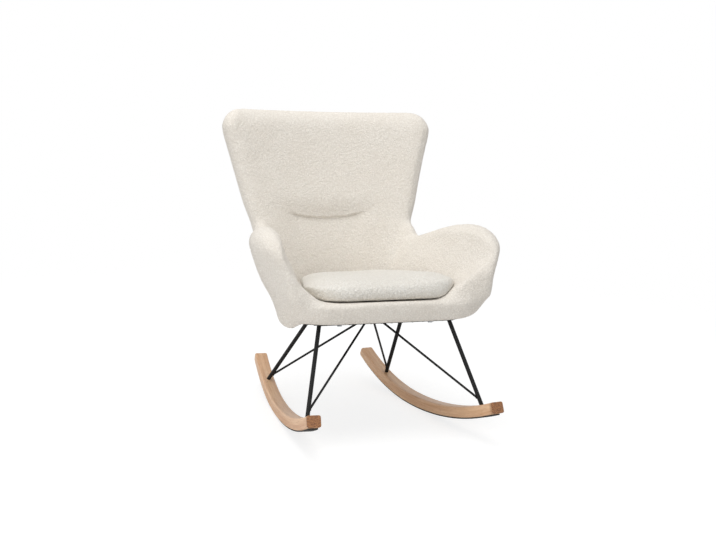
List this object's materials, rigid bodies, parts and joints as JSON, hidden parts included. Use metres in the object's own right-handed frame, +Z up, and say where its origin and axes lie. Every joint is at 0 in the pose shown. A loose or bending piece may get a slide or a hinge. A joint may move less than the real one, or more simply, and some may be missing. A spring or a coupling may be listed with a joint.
{
  "type": "upholstered rocking chair",
  "caption": "Upholstered rocking chair: a soft winged tub with low arms and a loose cushion, on a braced steel leg frame over two bent wooden rockers.",
  "frame": {"origin": "on the floor, midway between the rockers, where they touch it at rest", "axes": "+Z up, the chair faces -Y, +X is to the right of someone who looks at its front"},
  "size_m": [0.8066, 0.8914, 0.9626],
  "materials": {
    "rocker_wood": "satin",
    "grip_rubber": "matte",
    "black_steel": "matte",
    "plug_plastic": "matte",
    "zinc_steel": "satin",
    "plywood": "matte",
    "dust_cloth": "matte",
    "boucle": "matte",
    "cushion_boucle": "matte",
    "foam": "matte",
    "zip_tape": "matte",
    "slider_metal": "satin"
  },
  "bodies": {
    "chair": {"rocker_left": "rocker_wood", "rocker_right": "rocker_wood", "grip_strip_left": "grip_rubber", "grip_strip_right": "grip_rubber", "leg_front_left": "black_steel", "leg_front_right": "black_steel", "leg_rear_left": "black_steel", "leg_rear_right": "black_steel", "brace_front_left": "black_steel", "brace_front_right": "black_steel", "brace_rear_left": "black_steel", "brace_rear_right": "black_steel", "front_rail": "black_steel", "rear_rail": "black_steel", "side_rail_left": "black_steel", "side_rail_right": "black_steel", "centre_rail": "black_steel", "leg_plugs": "plug_plastic", "leg_bolts": "zinc_steel", "frame_bolts": "zinc_steel", "t_nuts": "zinc_steel", "bracket_bolts": "zinc_steel", "frame_brackets": "zinc_steel", "seat_board": "plywood", "arm_board_left": "plywood", "arm_board_right": "plywood", "back_board": "plywood", "front_block": "plywood", "dust_cover": "dust_cloth", "base_pad": "boucle", "arm_pad_left": "boucle", "arm_pad_right": "boucle", "back_pad_upper": "boucle", "back_pad_lower": "boucle", "rear_pad": "boucle"},
    "cushion": {"cushion_cover": "cushion_boucle", "cushion_foam": "foam", "cushion_zip": "zip_tape"},
    "zip_slider": {"zip_slider": "slider_metal"}
  },
  "joints": [
    {"name": "cushion_lift", "type": "slide", "parent": "chair", "child": "cushion", "axis": [0, 0.1219, 0.9925], "range_m": [0, 0.25]},
    {"name": "zip_slide", "type": "slide", "parent": "cushion", "child": "zip_slider", "axis": [1, 0, 0], "range_m": [0, 0.106]}
  ]
}
